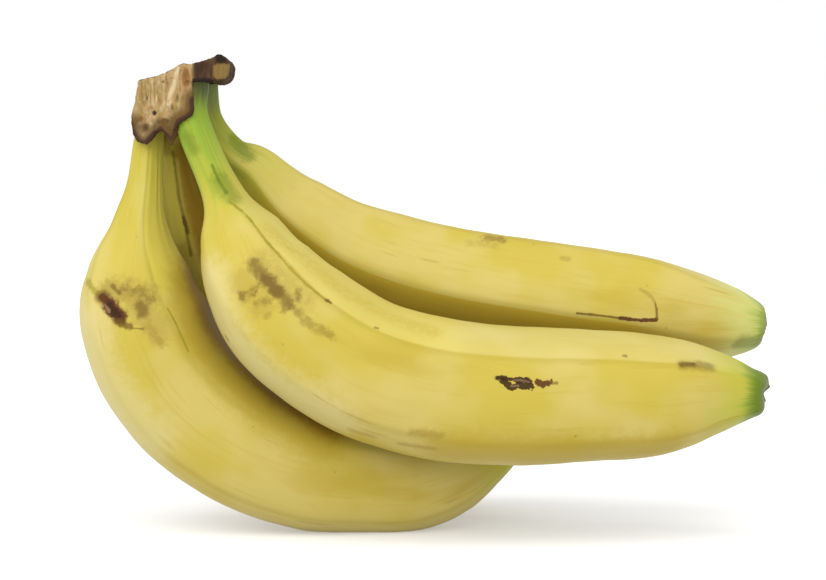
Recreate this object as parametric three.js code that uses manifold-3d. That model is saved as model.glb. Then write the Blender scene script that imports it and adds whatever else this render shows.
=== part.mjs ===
// A small hand of bananas, still joined at its crown, resting on the bellies of its two lower fruits.
// Millimetres. +X runs towards the blossom ends, +Y away from the front fruit, +Z up, and the origin
// is the middle of the hand's box, on the surface that it rests on.

import * as THREE from 'three';
import Module from 'manifold-3d';
import { mergeVertices } from 'three/addons/utils/BufferGeometryUtils.js';

const wasm = await Module();
wasm.setup();

// How finely a fruit is faceted: sides round it, and rings between two of its knots
const sidesRound = 25;
const ringsPerKnot = 4;

// A fruit has five soft ridges. Each share says how far its section goes from a circle to a pentagon.
const ridgeCount = 5;
const meanPentagon = 0.877;
const neckRidgeShare = 0.5;
const bodyRidgeShare = 0.32;
const neckRadius = 6;
const bodyRadius = 18;

// Clearance between a neck and the crown that holds it
const fitGap = 0.35;

// Each fruit's middle line from its root in the crown to its blossom end, as [x, y, z, radius].
// ridgeTurn is the angle of one ridge, from the belly towards the near side, in degrees.
const fruits = {
  banana_1: {
    colour: 0xc9b94a,
    ridgeTurn: 105,
    knots: [
      [-76.5, 0.5, 127, 3.3], [-78.3, 0, 117, 4.3], [-79.5, 0, 103.5, 5.3], [-81.3, 0, 91, 8.7],
      [-82, 0, 78, 15.2], [-80, 0, 63, 19.3], [-70.5, 0, 43.5, 20.2], [-52.5, 1, 28, 20.2],
      [-32, 3, 19.5, 19.7], [-14, 5, 16.9, 18.5], [0, 6.5, 15.8, 17], [12, 7, 18.6, 14.4],
      [21.5, 7, 22.4, 10.2], [28, 7, 25.4, 6.8], [31, 7, 26.9, 4.8], [32, 7, 27.5, 2.4],
    ],
  },
  banana_2: {
    colour: 0xd6c65c,
    ridgeTurn: 125,
    knots: [
      [-65, -6.5, 134.6, 5.2], [-64, -6.8, 122, 5.7], [-58, -9, 105, 6.2], [-51.5, -12, 91, 10.6],
      [-45.5, -15.5, 77.5, 16.8], [-34, -18.5, 63.5, 19.6], [-15, -20, 51, 20.3], [7, -20.5, 44.5, 20.5],
      [29, -20.5, 42.5, 20.2], [50, -20, 42.5, 19.3], [66, -19.5, 42.5, 18.2], [79, -19, 43, 15.6],
      [90, -19, 43.3, 11.3], [98, -19, 43.2, 7.5], [101, -19, 43.2, 6], [101.8, -19, 43.2, 3],
    ],
  },
  banana_3: {
    colour: 0xd2c154,
    ridgeTurn: 87,
    knots: [
      [-63, 6.5, 134.6, 4.8], [-61.9, 7, 122.5, 5.2], [-55.3, 8.5, 112.7, 6], [-47.3, 10, 106.9, 9.2],
      [-37.4, 12.5, 95.8, 13.4], [-22, 14, 84, 16], [-5.5, 14, 77.3, 17.5], [13, 14, 72.5, 18.2],
      [34, 14, 69, 18.5], [55, 14, 65.8, 18.5], [73, 14, 63.8, 17.2], [86, 14, 62.8, 14.2],
      [96, 14, 61.9, 11], [102, 14, 61.3, 8.4], [105.5, 14, 61, 5.9], [106.5, 14, 60.9, 2.8],
    ],
  },
  banana_4: {
    colour: 0xc4b446,
    ridgeTurn: 92,
    knots: [
      [-72.5, 11, 127, 3.8], [-73, 12.5, 115, 5.9], [-71, 15, 102, 6.8], [-68.5, 20, 90, 9.5],
      [-65.5, 28, 77.5, 13.6], [-60, 35.5, 62, 16.6], [-50.5, 41, 45, 18.3], [-36.5, 44, 28.5, 18.9],
      [-19, 45, 18.3, 19.1], [-2, 45, 17.4, 18.7], [13, 45, 21.8, 17.2], [26.5, 45, 29, 13.8],
      [36.5, 45, 36, 9.6], [43, 45, 41, 6.8], [45.5, 45, 43, 4.8], [46.3, 45, 43.6, 2.4],
    ],
  },
};

// The crown's outline seen from the near side, as [x, z], and the depths between which it lies
const crownColour = 0x8f6a3f;
const blockOutline = [
  [-80, 133.5], [-73.5, 135.5], [-68.5, 138.5], [-64.2, 138.7], [-64, 125], [-68.5, 122],
  [-73, 119.3], [-76, 117], [-78.5, 116], [-80.5, 117.2], [-81.8, 123],
];
const blockNear = -18;
const blockFar = 22;
const blockBevel = 0.8;

// Two saw cuts bound the crown, each by a point [x, y] and the way that its face looks, in degrees from +X
const nearCut = { point: [-64, -14.4], looks: 244 };
const farCut = { point: [-72, 19], looks: 82 };
const cutSize = 120;

// The dried bar that runs on over the inner row's necks
const barOutline = [
  [-66, 138.4], [-62.4, 139.8], [-57.4, 141.4], [-54.4, 141.2], [-52.5, 139], [-53, 135],
  [-55, 133.4], [-66, 133.6],
];
const barNear = -12;
const barFar = 13;
const barBevel = 1.2;

// The web of stalk that points down between the two rows of necks
const web = { x: -70.8, y: -4.5, top: 123, tip: 114.8, radius: 3.2, sides: 7 };

// A point [x, y, z, radius] on a fruit, with the way it runs, at a share of its length
function stationOf(fruit, share) {
  const line = new THREE.CatmullRomCurve3(
    fruit.knots.map(([x, y, z]) => new THREE.Vector3(x, y, z)), false, 'catmullrom', 0.5);
  const girth = new THREE.CatmullRomCurve3(
    fruit.knots.map((knot) => new THREE.Vector3(knot[3], 0, 0)), false, 'catmullrom', 0.5);
  return { middle: line.getPoint(share), way: line.getTangent(share), radius: girth.getPoint(share).x };
}

// How far out the skin lies, as a share of the radius, at an angle from a ridge
function ridgeFactor(angle, share) {
  const pitch = (2 * Math.PI) / ridgeCount;
  const offRidge = Math.abs(angle - pitch * Math.round(angle / pitch));
  const pentagon = Math.cos(pitch / 2) / Math.cos(pitch / 2 - offRidge);
  return 1 + share * (pentagon - meanPentagon);
}

// One fruit: a closed cylinder bent along its middle line. Swell makes the larger copy that cuts its socket.
function fruitGeometry(fruit, swell = 0) {
  const rings = ringsPerKnot * (fruit.knots.length - 1);
  const geometry = new THREE.CylinderGeometry(1, 1, 1, sidesRound, rings, false);
  geometry.deleteAttribute('normal');
  geometry.deleteAttribute('uv');
  const closed = mergeVertices(geometry, 1e-5);
  const stations = Array.from({ length: rings + 1 }, (_, ring) => stationOf(fruit, ring / rings));
  const spot = closed.getAttribute('position');
  const depth = new THREE.Vector3(0, 1, 0);
  for (let i = 0; i < spot.count; i += 1) {
    // The cylinder's top, at y = 0.5, is the root
    const ring = Math.round((0.5 - spot.getY(i)) * rings);
    const { middle, way, radius } = stations[ring];
    const outward = Math.hypot(spot.getX(i), spot.getZ(i)) > 0.5 ? 1 : 0;
    // The first corner stands on a ridge
    const offRidge = Math.atan2(spot.getX(i), spot.getZ(i));
    const angle = offRidge + THREE.MathUtils.degToRad(fruit.ridgeTurn);
    const belly = new THREE.Vector3().crossVectors(depth, way).normalize();
    const near = new THREE.Vector3().crossVectors(belly, way).normalize();
    const narrow = THREE.MathUtils.smoothstep(radius, neckRadius, bodyRadius);
    const share = THREE.MathUtils.lerp(neckRidgeShare, bodyRidgeShare, narrow);
    const reach = outward * (radius * ridgeFactor(offRidge, share) + swell);
    const point = middle.clone()
      .addScaledVector(belly, reach * Math.cos(angle))
      .addScaledVector(near, reach * Math.sin(angle));
    if (ring === 0) {
      point.addScaledVector(way, -swell);
    }
    // The belly is pressed flat where it rests on the surface
    spot.setXYZ(i, point.x, point.y, Math.max(point.z, 0));
  }
  return closed;
}

// A closed geometry as a solid that can be joined and cut
function solidOf(geometry) {
  geometry.deleteAttribute('normal');
  geometry.deleteAttribute('uv');
  const merged = mergeVertices(geometry, 1e-5);
  const triVerts = new Uint32Array(merged.index.array);
  const vertProperties = new Float32Array(merged.getAttribute('position').array);
  return new wasm.Manifold(new wasm.Mesh({ numProp: 3, vertProperties, triVerts }));
}

// A solid back as a geometry
function geometryOf(solid) {
  const mesh = solid.getMesh();
  const geometry = new THREE.BufferGeometry();
  geometry.setAttribute('position', new THREE.BufferAttribute(mesh.vertProperties, 3));
  geometry.setIndex(new THREE.BufferAttribute(mesh.triVerts, 1));
  return geometry;
}

// A slab with the given outline in the XZ plane, its edges bevelled, between two depths
function slab(outline, near, far, bevel) {
  const shape = new THREE.Shape(outline.map(([x, z]) => new THREE.Vector2(x, z)));
  const geometry = new THREE.ExtrudeGeometry(shape, {
    depth: far - near - 2 * bevel,
    bevelSize: bevel,
    bevelThickness: bevel,
    bevelOffset: -bevel,
    bevelSegments: 2,
  });
  geometry.rotateX(Math.PI / 2);
  geometry.translate(0, far - bevel, 0);
  return solidOf(geometry);
}

// All that lies beyond a saw cut
function beyond(cut) {
  const box = new THREE.BoxGeometry(cutSize, cutSize, cutSize);
  box.translate(cutSize / 2, 0, 0);
  box.rotateZ(THREE.MathUtils.degToRad(cut.looks));
  box.translate(cut.point[0], cut.point[1], cutSize);
  return solidOf(box);
}

// The pointed web between the rows
function webSolid() {
  const cone = new THREE.ConeGeometry(web.radius, web.top - web.tip, web.sides);
  cone.rotateX(Math.PI);
  cone.translate(web.x, web.y, (web.top + web.tip) / 2);
  return solidOf(cone);
}

// The crown: block, bar and web in one, sawn off at both sides, with a socket round each neck
function crownGeometry() {
  let crown = slab(blockOutline, blockNear, blockFar, blockBevel)
    .add(slab(barOutline, barNear, barFar, barBevel))
    .add(webSolid())
    .subtract(beyond(nearCut))
    .subtract(beyond(farCut));
  for (const fruit of Object.values(fruits)) {
    crown = crown.subtract(solidOf(fruitGeometry(fruit, fitGap)));
  }
  return geometryOf(crown);
}

// A named piece of the hand
function piece(name, geometry, color, roughness) {
  geometry.computeVertexNormals();
  const material = new THREE.MeshStandardMaterial({ color, roughness, metalness: 0 });
  const mesh = new THREE.Mesh(geometry, material);
  mesh.name = name;
  return mesh;
}

const hand = new THREE.Group();
hand.add(piece('crown', crownGeometry(), crownColour, 0.85));
for (const [name, fruit] of Object.entries(fruits)) {
  hand.add(piece(name, fruitGeometry(fruit), fruit.colour, 0.45));
}

// The hand is moved so that the origin is under the middle of its box
const middle = new THREE.Box3().setFromObject(hand).getCenter(new THREE.Vector3());
hand.position.set(-middle.x, -middle.y, 0);

export default hand;
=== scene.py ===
import math

import bmesh
import bpy
from mathutils import Matrix, Vector, noise


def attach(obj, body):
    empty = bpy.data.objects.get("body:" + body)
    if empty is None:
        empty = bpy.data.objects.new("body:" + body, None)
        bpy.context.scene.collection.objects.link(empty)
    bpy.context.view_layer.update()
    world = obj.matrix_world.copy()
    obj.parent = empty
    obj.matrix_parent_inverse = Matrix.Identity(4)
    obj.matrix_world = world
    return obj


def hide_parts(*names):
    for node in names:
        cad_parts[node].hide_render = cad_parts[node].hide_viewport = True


# A hand of four bananas with its crown, lying on a white floor. Lengths in the plans are millimetres.
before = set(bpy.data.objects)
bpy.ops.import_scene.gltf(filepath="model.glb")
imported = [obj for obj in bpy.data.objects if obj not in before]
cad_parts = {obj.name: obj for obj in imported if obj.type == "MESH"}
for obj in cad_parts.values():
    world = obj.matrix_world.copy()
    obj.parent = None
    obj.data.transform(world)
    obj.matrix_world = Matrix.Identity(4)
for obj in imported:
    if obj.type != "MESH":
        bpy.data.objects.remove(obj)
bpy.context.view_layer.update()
print("frame loaded")

mm = 0.001

# The hand was modelled about its lower fruit and then moved over the origin, by this much
handMoved = Vector((-3.946, -11.593, 0))

# Each fruit. Turns are degrees from the belly towards the near side. A lobe is an angle, a width and a
# height, and a knot is x, y, z and radius. The neck's tone has a start, an end and a strength, and the
# tones of the other ends have a reach and a strength, or a strength alone. A facet is its number, tone,
# start, end, fade and strength. A mark is its line over the skin, radius, soft edge, tone, strength and
# wobble.
fruitPlans = {
    "lowerFruit": {
        "node": "banana_1", "seed": 3, "neckTurn": 101, "ridgeTurn": 120, "tipTurn": 120,
        "bodyRidge": 0.4, "bodyEdge": 0.14, "lobes": [], "tipSet": 0,
        "knots": [
            (-76.5, 0.5, 127, 3.3), (-78.3, 0, 117, 4.3), (-79.5, 0, 103.5, 5.3), (-81.3, 0, 91, 8.7),
            (-82, 0, 78, 15.2), (-80, 0, 63, 19.3), (-70.5, 0, 43.5, 20.2), (-52.5, 1, 28, 20.2),
            (-32, 3, 19.5, 19.7), (-14, 5, 16.9, 18.5), (0, 6.5, 15.8, 17), (12, 7, 18.6, 14.4),
            (21.5, 7, 22.4, 10.2), (28, 7, 25.4, 6.8), (31, 7, 26.9, 4.8), (32, 7, 27.5, 2.4),
        ],
        "neck": ("limeYellow", 8, 62, 0.2), "crownEnd": ("ochre", 0.3),
        "tip": ("limeYellow", 14, 0.7), "tipFade": "limeYellow", "tipDark": (5.5, 0.55),
        # The neck's facet right of the near ridge is lightened: painted light
        "facets": [(0, "sunny", 6, 62, 12, 0.7)],
        "marks": [
            # Painted sheen on the left side, and painted shade beside the front fruit
            ([(-94, -10, 62), (-90, -12, 48), (-78, -14, 32)], 3.5, 10, "palest", 0.6, 2),
            ([(-65.8, -4.7, 74), (-62.3, -11.5, 61.2), (-55, -11.8, 50), (-43.3, -12.1, 40.1),
              (-27.2, -13.1, 30.5)], 3, 10, "gold", 0.85, 1.6),
            ([(-65.7, 0.2, 76.7), (-60.5, -5, 64.3), (-54.8, -3.3, 55.5), (-43.7, -5.3, 44.7),
              (-33.3, -7, 37.8), (-24, -8.6, 33.4)], 1.5, 7, "shade", 0.9, 1.6),
            # The bruise on the shoulder, with its red brown scar
            ([(-88, -15.2, 73), (-83.5, -16.6, 72.8), (-77.4, -17.2, 71.1)], 1.5, 4.5, "ochre", 0.75, 2),
            ([(-79, -18.3, 66.9), (-73.8, -18.9, 62.3)], 1.5, 5, "tan", 0.75, 2),
            ([(-95.6, -8.8, 75.4), (-93.7, -12.2, 73.8), (-91.7, -14.2, 71.8)],
             0.5, 0.9, "olive", 0.7, 0.6),
            ([(-90.4, -15, 71), (-88.2, -16.3, 69.1), (-84.9, -17.8, 65.4)], 1.1, 2.2, "brown", 0.85, 0.6),
            ([(-90.4, -15, 71), (-88.2, -16.3, 69.1)], 0.6, 0.9, "redBrown", 0.95, 0.5),
            ([(-88.2, -16.3, 69.1), (-86.7, -17, 67.4), (-84.7, -17.8, 65.2)],
             1.5, 1.2, "redBrown", 0.97, 0.8),
            ([(-88, -16.3, 68.9), (-86.7, -17, 67.4), (-85.2, -17.8, 65.8)],
             0.7, 1.1, "darkBrown", 0.9, 0.9),
            ([(-89.5, -15.9, 68.9), (-88.3, -16.7, 67.2)], 0.05, 0.6, "pinkTan", 0.5, 0.6),
            ([(-84.1, -16.3, 73.4), (-80, -16.8, 72.9), (-76.2, -17.3, 70.6)],
             0.4, 1.9, "oliveBrown", 0.55, 1.2),
            ([(-85.5, -17.8, 63.9), (-83.1, -18.5, 62.8)], 0.4, 1.6, "brown", 0.7, 1),
            ([(-76.6, -18.9, 63.4), (-74.6, -19.3, 60.5), (-72.9, -19.4, 57.9)],
             0.4, 2.2, "ochre", 0.7, 1.2),
            ([(-87.2, -15.3, 74.2), (-85.3, -16.4, 72.3)], 0.3, 0.9, "oliveBrown", 0.8, 0.4),
            ([(-79, -18, 68.6), (-78.4, -18.4, 66.6)], 0.7, 2, "brown", 0.75, 0.7),
            ([(-84.6, -18, 63.9), (-81.9, -18.7, 62.5)], 0.3, 1.6, "brown", 0.65, 0.6),
            # Two scratches
            ([(-81.6, -18.8, 62.2), (-78.1, -19.1, 62)], 0.1, 0.4, "oliveBrown", 0.7, 0.2),
            ([(-71.1, -16.7, 67.6), (-68.7, -17.1, 63.3), (-65.2, -17.6, 55.5)],
             0.1, 0.45, "olive", 0.7, 0.1),
        ],
    },
    "frontFruit": {
        "node": "banana_2", "seed": 11, "neckTurn": 102, "ridgeTurn": 126, "tipTurn": 124,
        "bodyRidge": 0.5, "bodyEdge": 0.1, "lobes": [(155, 36, 2.2), (35, 42, 1.2)], "tipSet": -1.1,
        "knots": [
            (-65, -6.5, 134.6, 5.2), (-64.7, -6.8, 121.8, 5.2), (-55.7, -9, 100.1, 6.2),
            (-50.9, -12, 88.5, 12.4), (-45, -15.5, 76.6, 16.9), (-34, -18.5, 63.6, 19.6),
            (-15, -20, 51, 20.3), (7, -20.5, 44.5, 20.5), (29, -20.5, 42.5, 20.2), (50, -20, 42.5, 19.3),
            (66, -19.5, 42.5, 18.2), (79, -19, 43, 15.6), (90, -19, 43.3, 11.3), (98, -19, 43.2, 7.5),
            (101, -19, 43.2, 6), (101.8, -19, 43.2, 3),
        ],
        "neck": ("brightGreen", 12, 50, 1), "crownEnd": ("greyGreen", 0.95),
        "tip": ("brightGreen", 9, 0.9), "tipFade": "limeYellow", "tipDark": (8, 0.9),
        # The top facet is paler and brighter along the body: painted light
        "facets": [(0, "cream", 45, 230, 15, 0.6), (0, "sunny", 36, 140, 20, 0.4)],
        "marks": [
            # The line along the near ridge
            ([(-58, -14.9, 107.3), (-52.8, -18.3, 99.5), (-46.8, -22.4, 92.7), (-41.9, -27.3, 87.1),
              (-36, -31.4, 81), (-30.5, -33.8, 75.7), (-24.8, -35.1, 71.3)], 0.1, 0.65, "olive", 0.85, 0.3),
            # Painted sheen on the left of the belly, a yellow stretch, and painted shade low on the belly
            ([(-56, -24, 74), (-52, -26, 62), (-42, -28, 50), (-24, -32, 38)],
             4, 10, "palest", 0.65, 2),
            ([(-40, -24, 92), (-22, -28, 74), (5, -31, 62)], 1, 5, "yellow", 0.8, 1),
            ([(10, -33, 32), (40, -32, 30), (70, -28, 32)], 3, 8, "gold", 0.7, 2),
            # Darker green on the neck, and the start of the ridge
            ([(-55.5, -14.6, 105.5), (-52, -15.6, 100.5)], 1.2, 3.4, "darkGreen", 0.5, 0.8),
            ([(-66.5, -13, 117.5), (-64.5, -13, 114)], 0.6, 2.6, "darkGreen", 0.5, 0.6),
            ([(-58.3, -14.3, 109.3), (-56.2, -15.7, 105), (-54.1, -16.7, 102.1)],
             0.1, 0.8, "darkGreen", 0.85, 0.3),
            ([(-24.3, -35.1, 71), (-23.4, -35.2, 70.4)], 0.35, 0.5, "oliveBrown", 0.95, 0.3),
            # The bruise on the shoulder, and its trail
            ([(-42.8, -31.4, 81.9), (-36.1, -34.7, 75.5), (-31.8, -36.2, 71.3)], 2, 4, "tan", 0.8, 1.2),
            ([(-48.4, -32, 76.8), (-42.6, -35.5, 70.2)], 2, 4, "ochre", 0.4, 2),
            ([(-44.8, -31.3, 81), (-42.8, -32.5, 78.6)], 0.5, 2.6, "oliveBrown", 0.8, 0.8),
            ([(-41.5, -33.4, 76.9), (-38.3, -34.9, 73.6)], 0.6, 2.5, "brown", 0.9, 0.8),
            ([(-38.5, -35, 73.8), (-37, -35.3, 72.6), (-35.2, -36, 70.8)],
             0.3, 2.4, "oliveBrown", 0.8, 0.8),
            ([(-32.1, -35.5, 73.3), (-32.4, -36.1, 71.6)], 0.1, 1.8, "oliveBrown", 0.6, 1),
            ([(-34.3, -36.6, 70.2), (-36.3, -36.8, 68.6)], 0.1, 1.8, "oliveBrown", 0.6, 1),
            ([(-44.9, -34, 74), (-46.6, -33.7, 72.9), (-48.4, -33.1, 72.3)],
             0.3, 1.9, "oliveBrown", 0.75, 1.2),
            ([(-44, -35.1, 70.4), (-40.3, -35.7, 71.3)], 0.1, 1.7, "oliveBrown", 0.5, 1),
            ([(-41.4, -36.3, 66.3), (-40.3, -36.4, 67.4)], 0.3, 0.9, "ochre", 0.5, 0.5),
            ([(-32, -37.3, 67.5), (-29.8, -37.9, 65), (-26.1, -38.3, 63), (-23.3, -38.5, 61.1)],
             0.3, 1.9, "oliveBrown", 0.45, 1.1),
            # The dried scar on the side
            ([(23.8, -39.4, 49.9), (27.2, -39.4, 49.3), (33.1, -39.2, 48.7)],
             0.5, 0.35, "darkBrown", 0.97, 0.7),
            ([(25.2, -39.6, 48.8), (27.5, -39.9, 47.1), (33.1, -39.5, 47.6)],
             0.8, 0.4, "darkBrown", 0.95, 0.9),
            ([(34.8, -39.2, 48.5), (36.5, -39.2, 47.9), (38.8, -38.9, 48.4)],
             0.8, 0.4, "redBrown", 0.95, 0.6),
            ([(39, -39, 48.2), (40.4, -38.9, 48.2)], 0.3, 0.5, "oliveBrown", 0.7, 0.3),
            ([(27.5, -39.8, 47.4), (29.5, -39.7, 47.4)], 0.15, 0.3, "scarTan", 0.8, 0.2),
            ([(28.1, -39.4, 49), (30, -39.3, 49), (32.6, -39.3, 48.5)], 0.15, 0.3, "scarTan", 0.6, 0.3),
            # The smudge near the tip, and specks
            ([(76, -32.4, 52.4), (79.5, -31, 52.2)], 0.2, 1.1, "brown", 0.9, 0.3),
            ([(76.5, -32.4, 52.4), (81.7, -30.2, 52.1), (84.4, -29.2, 51.3)],
             0.3, 2.4, "oliveBrown", 0.6, 0.5),
            ([(59.7, -33.6, 55.3), (60.3, -33.5, 55.3)], 0.3, 0.4, "oliveBrown", 0.6, 0.2),
            ([(-10.7, -36, 63.4), (-10.1, -36, 63.2)], 0.2, 0.5, "oliveBrown", 0.6, 0.2),
            ([(-53.7, -23.7, 60), (-53.1, -24.2, 59.2)], 0.4, 0.6, "oliveBrown", 0.6, 0.3),
            # Faint rubs low on the belly
            ([(-17.4, -31.2, 33.7), (-11.6, -32.6, 32.5)], 0.1, 2.4, "ochre", 0.5, 0.8),
            ([(-0.3, -37.9, 34.2), (7.6, -38.3, 33.4)], 0.1, 2, "ochre", 0.65, 0.7),
            ([(-3.7, -33.2, 29.9), (5.6, -34.6, 29)], 0.1, 1.8, "ochre", 0.55, 0.7),
        ],
    },
    "upperFruit": {
        "node": "banana_3", "seed": 23, "neckTurn": 84, "ridgeTurn": 85, "tipTurn": 66,
        "bodyRidge": 0.55, "bodyEdge": 0.08, "lobes": [], "tipSet": 0.2,
        "knots": [
            (-63, 6.5, 134.6, 4.8), (-61.9, 7, 122.5, 5.2), (-55.3, 8.5, 112.7, 6), (-47.5, 10, 106.7, 9),
            (-37.6, 12.5, 95.5, 13), (-22, 14, 84, 16), (-5.5, 14, 77.3, 17.5), (13, 14, 72.5, 18.2),
            (34, 14, 69, 18.5), (55, 14, 65.8, 18.5), (73, 14, 63.8, 17.2), (86, 14, 62.8, 14.2),
            (96, 14, 61.9, 11), (102, 14, 61.3, 8.4), (105.5, 14, 61, 5.9), (106.5, 14, 60.9, 2.8),
        ],
        "neck": ("moss", 14, 42, 0.8), "crownEnd": ("paleMoss", 0.9), "tip": ("brightGreen", 8, 0.6),
        "tipFade": "paleLime", "tipDark": (4, 0.35),
        # The facet facing down onto the front fruit is darker: painted shade
        "facets": [(4, "paintedUnderShade", 24, 170, 14, 0.8), (4, "gold", 150, 215, 20, 0.5)],
        "marks": [
            # The hooked scratch
            ([(48.4, -4.9, 65.7), (55.2, -4.7, 65), (61.2, -4.5, 64.2)], 0.1, 0.45, "brown", 0.9, 0.15),
            ([(61.2, -4.5, 64.2), (67.1, -4.3, 63.5), (71.9, -3.8, 63.6)],
             0.35, 0.4, "redBrown", 0.95, 0.3),
            ([(72.2, -3.8, 63.9), (72.2, -3.2, 66.5), (71.7, -2.6, 68.8)], 0.15, 0.5, "brown", 0.8, 0.3),
            ([(71.7, -2.6, 68.8), (70.3, -1.9, 70.9), (67.6, -1.4, 72.6)], 0.1, 0.8, "ochre", 0.6, 0.4),
            # Brown rubs on the back, and darker green at both ends
            ([(22, 5.2, 87.6), (26.2, 5.6, 86.9)], 0.4, 2.2, "brown", 0.55, 1),
            ([(17, 2.7, 86.2), (24, 3.3, 85)], 0.1, 2.4, "ochre", 0.4, 1.2),
            ([(44.7, 2, 81.7), (46.2, 2, 81.4)], 0.6, 0.8, "ochre", 0.5, 0.4),
            ([(-53, 5, 116.5), (-49.2, 4, 112)], 0.9, 2.6, "darkGreen", 0.6, 0.8),
            ([(98.5, 6.5, 56.5), (103.5, 9.5, 57)], 1.2, 3.2, "darkGreen", 0.55, 0.6),
        ],
    },
    "backFruit": {
        "node": "banana_4", "seed": 37, "neckTurn": 92, "ridgeTurn": 92, "tipTurn": 92,
        "bodyRidge": 0.4, "bodyEdge": 0.14, "lobes": [], "tipSet": 0,
        "knots": [
            (-72.5, 11, 127, 3.8), (-73, 12.5, 115, 5.9), (-71, 15, 102, 6.8), (-68.5, 20, 90, 9.5),
            (-65.5, 28, 77.5, 13.6), (-60, 35.5, 62, 16.6), (-50.5, 41, 45, 18.3), (-36.5, 44, 28.5, 18.9),
            (-19, 45, 18.3, 19.1), (-2, 45, 17.4, 18.7), (13, 45, 21.8, 17.2), (26.5, 45, 29, 13.8),
            (36.5, 45, 36, 9.6), (43, 45, 41, 6.8), (45.5, 45, 43, 4.8), (46.3, 45, 43.6, 2.4),
        ],
        "neck": ("olive", 10, 60, 0.15), "crownEnd": ("ochre", 0.5), "tip": ("limeYellow", 14, 0.7),
        "tipFade": "limeYellow", "tipDark": (5.5, 0.55), "facets": [],
        "marks": [
            # The shaded and the sunny side of the neck, and the dark line between them
            ([(-67, 8, 112), (-64.5, 12, 98), (-62, 16, 84)], 3.5, 3, "shade", 0.85, 0.5),
            ([(-73, 6.7, 109.4), (-72.4, 8.6, 100.4), (-71.2, 11.5, 88.3)], 2, 1.8, "sunny", 0.85, 0.3),
            ([(-71.8, 6.5, 113.3), (-70.2, 8.2, 99.5), (-68.4, 9.9, 90.4), (-67.1, 12.2, 82.2)],
             0.1, 0.8, "oliveBrown", 0.7, 0.2),
            ([(-68.9, 9.3, 93.5), (-67.8, 10.2, 89.2)], 0.35, 0.6, "darkBrown", 0.6, 0.3),
        ],
    },
}

# How every fruit's skin is shaped: lengths in millimetres, edges in radians
skinPlan = {
    "sides": 110, "ringsPerKnot": 15, "ridges": 5, "meanPentagon": 0.877,
    "neckRidge": 0.6, "neckRadius": 6, "bodyRadius": 18, "neckEdge": 0.06,
    "turnStart": 20, "turnEnd": 75, "tipTurnStart": 45, "tipTurnEnd": 8,
    "lumpHeight": 0.4, "lumpSize": 22, "waveHeight": 0.12, "waveSize": 7,
    "lumpFade": (1, 12), "grooveHeight": 0.22, "grooveEnd": 60, "grooveWide": 5, "grooveLong": 22,
    "lobeReach": 7, "ruffle": 0.5, "ruffleWide": 1.6, "rollRadius": 20,
    # The blossom end: share of the last radius, and how far along, for each ring of its dished scar
    "tipCap": [(0.9, 0.2), (0.8, 0.3), (0.7, 0.2), (0.62, -0.3), (0.56, -0.9), (0.45, -1.2), (0.3, -0.9),
               (0.2, -0.4), (0.08, -0.2)],
}


def smoothStep(low, high, value):
    t = min(max((value - low) / (high - low), 0.0), 1.0)
    return t * t * (3 - 2 * t)


def blend(first, second, share):
    return first + (second - first) * share


def knotCurve(knots, share):
    # A point on the smooth curve through the knots, and the way it runs
    last = len(knots) - 1
    place = share * last
    i = min(int(place), last - 1)
    t = place - i
    b, c = knots[i], knots[i + 1]
    a = knots[i - 1] if i > 0 else 2 * b - c
    d = knots[i + 2] if i + 2 <= last else 2 * c - b
    bend = 2 * a - 5 * b + 4 * c - d
    twist = 3 * b - a - 3 * c + d
    point = 0.5 * (2 * b + (c - a) * t + bend * t ** 2 + twist * t ** 3)
    way = 0.5 * ((c - a) + 2 * bend * t + 3 * twist * t ** 2)
    return point, way


def fruitStations(plan):
    # Rings from the root to the blossom end, then the rings of the dished scar
    knots = [Vector(knot) for knot in plan["knots"]]
    rings = skinPlan["ringsPerKnot"] * (len(knots) - 1)
    stations = []
    along = 0.0
    for ring in range(rings + 1):
        point, way = knotCurve(knots, ring / rings)
        run = way.xyz.normalized()
        if stations:
            along += (point.xyz - stations[-1]["middle"]).length
        belly = Vector((0, 1, 0)).cross(run).normalized()
        near = belly.cross(run).normalized()
        stations.append({"middle": point.xyz, "radius": point.w, "run": run, "belly": belly, "near": near,
                         "along": along, "inCap": 0.0})
    last = stations[-1]
    for share, shift in skinPlan["tipCap"]:
        stations.append({**last, "middle": last["middle"] + last["run"] * shift,
                         "radius": last["radius"] * share, "inCap": 1.0})
    return stations


def ridgeFactor(plan, offRidge, radius):
    pitch = 2 * math.pi / skinPlan["ridges"]
    thick = smoothStep(skinPlan["neckRadius"], skinPlan["bodyRadius"], radius)
    share = blend(skinPlan["neckRidge"], plan["bodyRidge"], thick)
    edge = blend(skinPlan["neckEdge"], plan["bodyEdge"], thick)
    rounded = math.sqrt(offRidge ** 2 + edge ** 2) - 0.3 * edge
    pentagon = math.cos(pitch / 2) / math.cos(pitch / 2 - min(rounded, pitch / 2))
    return 1 + share * (pentagon - skinPlan["meanPentagon"])


def bell(gap, width):
    return math.exp(-(gap / width) ** 2)


def ridgeAngle(plan, turn, along, toTip):
    # The ridges wind a little round the fruit, from its neck to its body and on to its tip
    onBody = smoothStep(skinPlan["turnStart"], skinPlan["turnEnd"], along)
    atTip = smoothStep(skinPlan["tipTurnStart"], skinPlan["tipTurnEnd"], toTip)
    start = blend(blend(plan["neckTurn"], plan["ridgeTurn"], onBody), plan["tipTurn"], atTip)
    return turn + math.radians(start)


def lumpsAt(spot, angle, along, toTip, sweep):
    # Lumps and waves all over, and lengthwise grooves on the stalk
    fade = smoothStep(*skinPlan["lumpFade"], toTip)
    lump = noise.noise(spot / skinPlan["lumpSize"] + sweep) * skinPlan["lumpHeight"] * fade
    wave = noise.noise(spot / skinPlan["waveSize"] + sweep) * skinPlan["waveHeight"] * fade
    wide = skinPlan["grooveWide"]
    place = Vector((wide * math.cos(angle), wide * math.sin(angle), along / skinPlan["grooveLong"]))
    groove = noise.noise(place + sweep) * skinPlan["grooveHeight"]
    return lump + wave + groove * (1 - smoothStep(0.4, 1, along / skinPlan["grooveEnd"]))


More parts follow.
